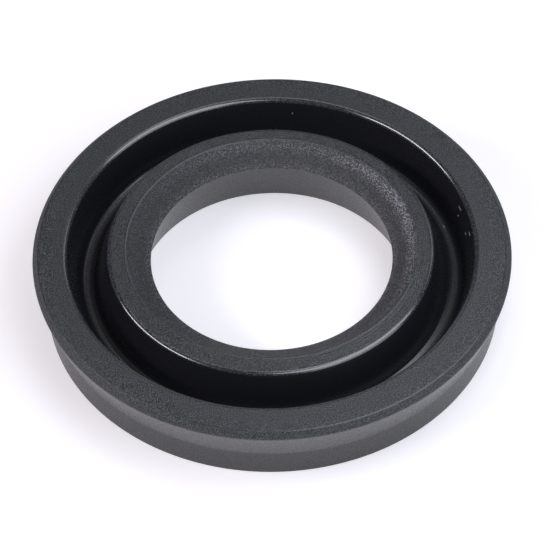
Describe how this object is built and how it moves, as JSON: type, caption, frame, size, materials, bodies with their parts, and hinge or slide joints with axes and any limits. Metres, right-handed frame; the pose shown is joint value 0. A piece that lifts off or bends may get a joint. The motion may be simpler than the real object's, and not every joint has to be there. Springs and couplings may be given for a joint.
{
  "type": "hydraulic u-cup oil seal",
  "caption": "Round rubber u-cup oil seal with a flat heel, a flared outer lip and a trimmed inner lip round a deep groove, for sealing oil on a rod.",
  "frame": {"origin": "centre of the heel's flat face, on the seal's axis", "axes": "+Z along the seal's axis, from the heel's flat face towards the open lips; the seal is round, so +X and +Y are free"},
  "size_m": [0.0524, 0.0524, 0.0078],
  "materials": {
    "black_rubber": "matte moulded rubber with a ground lip bevel"
  },
  "bodies": {
    "root": {"u_cup_seal": "black_rubber"}
  },
  "joints": []
}
